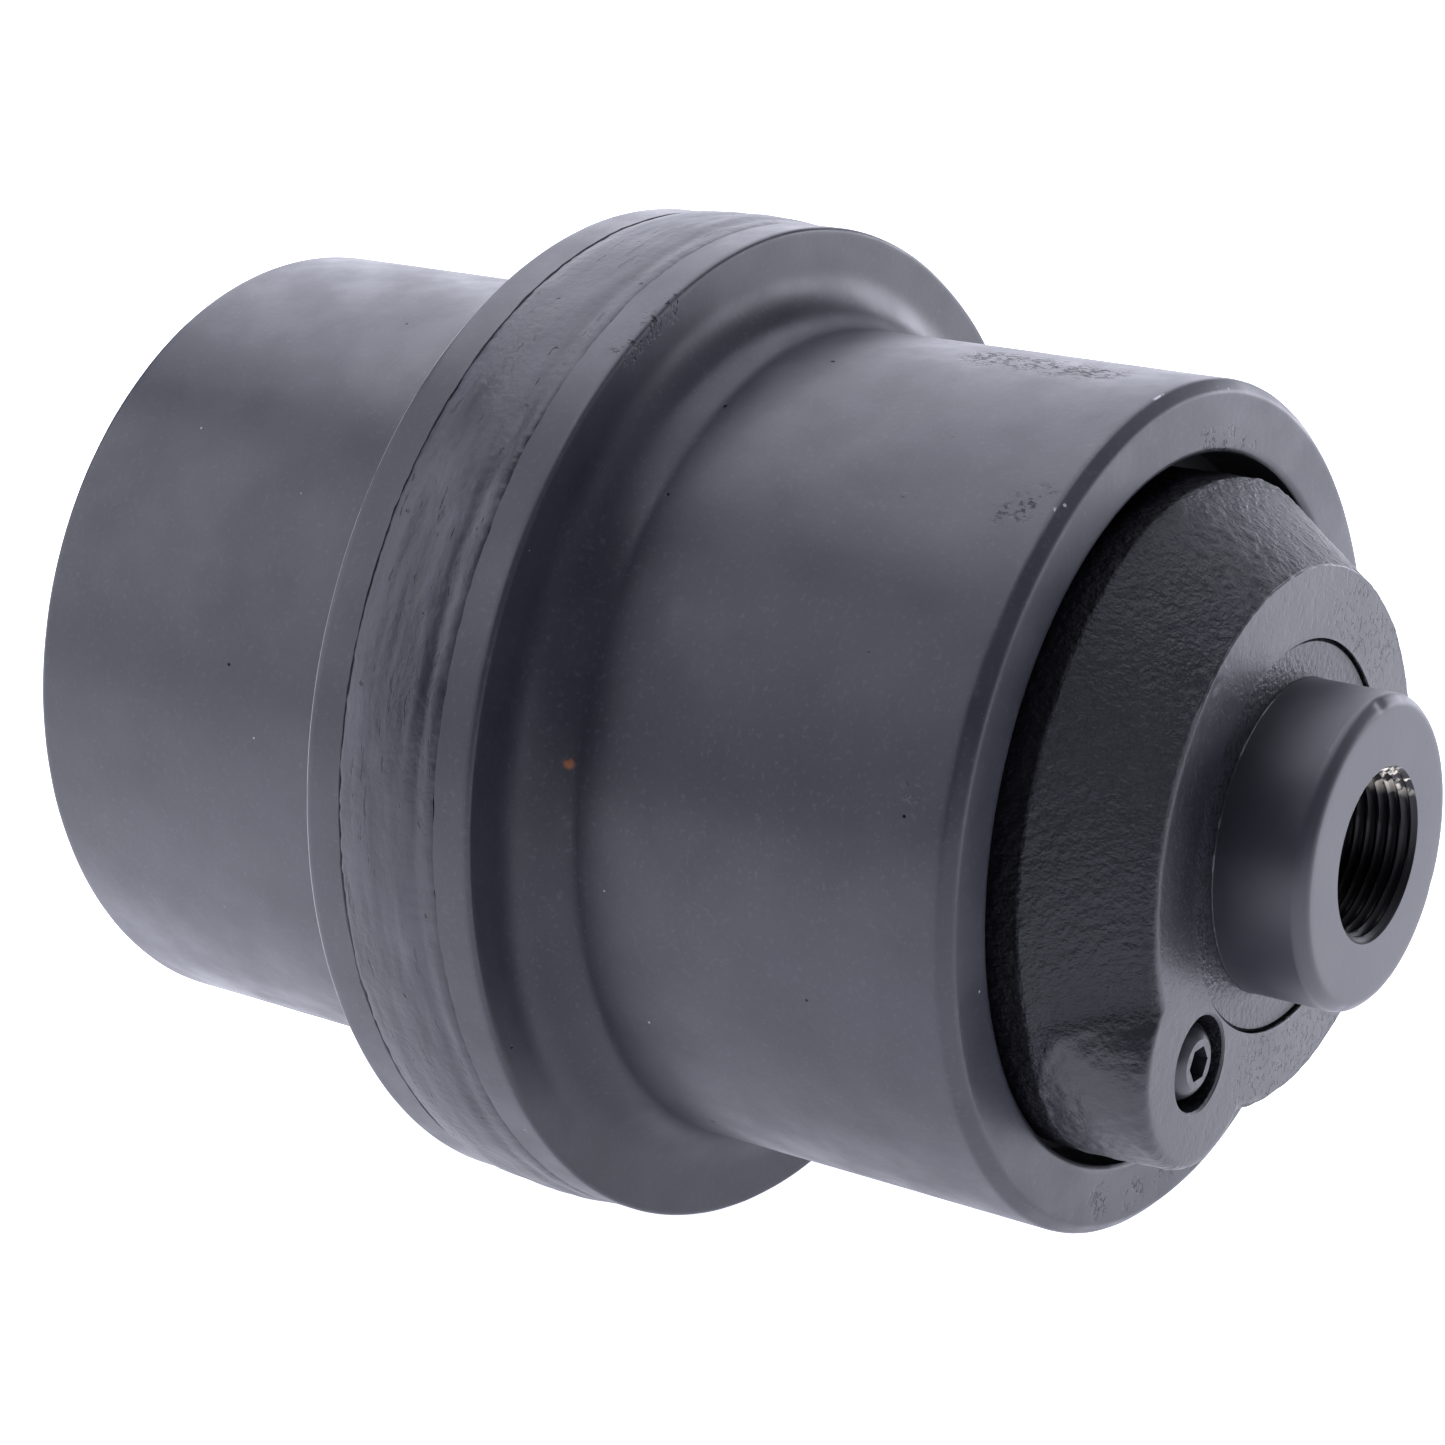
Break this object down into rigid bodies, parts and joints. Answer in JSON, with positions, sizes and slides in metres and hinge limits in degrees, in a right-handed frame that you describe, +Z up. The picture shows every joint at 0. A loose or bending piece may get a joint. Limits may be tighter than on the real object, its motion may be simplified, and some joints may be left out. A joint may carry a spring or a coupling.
{
  "type": "track roller",
  "caption": "Single-flange bottom track roller: welded shell on a fixed shaft with threaded ends, end collars and floating seals.",
  "frame": {"origin": "centre of the roller on its spin axis, in the middle of the flange", "axes": "+Y along the spin axis towards the rear end, +Z up; the front end's filler lobe points down and to -X"},
  "size_m": [0.1374, 0.2026, 0.1374],
  "materials": {
    "shell_paint": "dark blue-grey satin paint over machined steel",
    "weld_metal": "painted weld bead, uneven, with dark toe lines",
    "cast_collar": "painted rough casting",
    "shaft_steel": "painted turned ends, bare steel threads",
    "bushing_bronze": "turned bronze lining",
    "seal_iron": "lapped hard iron",
    "seal_rubber": "matte nitrile rubber",
    "pin_steel": "spring steel",
    "washer_copper": "annealed copper, painted over",
    "plug_steel": "black-oxide steel"
  },
  "bodies": {
    "shaft_assembly": {"shaft": "shaft_steel", "end_collar_front": "cast_collar", "end_collar_rear": "cast_collar", "seal_ring_fixed_front": "seal_iron", "toric_fixed_front": "seal_rubber", "shaft_o_ring_front": "seal_rubber", "lock_pin_front": "pin_steel", "plug_washer_front": "washer_copper", "filler_plug_front": "plug_steel", "seal_ring_fixed_rear": "seal_iron", "toric_fixed_rear": "seal_rubber", "shaft_o_ring_rear": "seal_rubber", "lock_pin_rear": "pin_steel", "plug_washer_rear": "washer_copper", "filler_plug_rear": "plug_steel"},
    "roller": {"weld_bead": "weld_metal", "shell_half_front": "shell_paint", "bushing_front": "bushing_bronze", "seal_ring_rotating_front": "seal_iron", "toric_rotating_front": "seal_rubber", "shell_half_rear": "shell_paint", "bushing_rear": "bushing_bronze", "seal_ring_rotating_rear": "seal_iron", "toric_rotating_rear": "seal_rubber"}
  },
  "joints": [
    {"name": "roller_spin", "type": "hinge", "parent": "shaft_assembly", "child": "roller", "pos_m": [0, 0, 0], "axis": [0, 1, 0], "continuous": true}
  ]
}
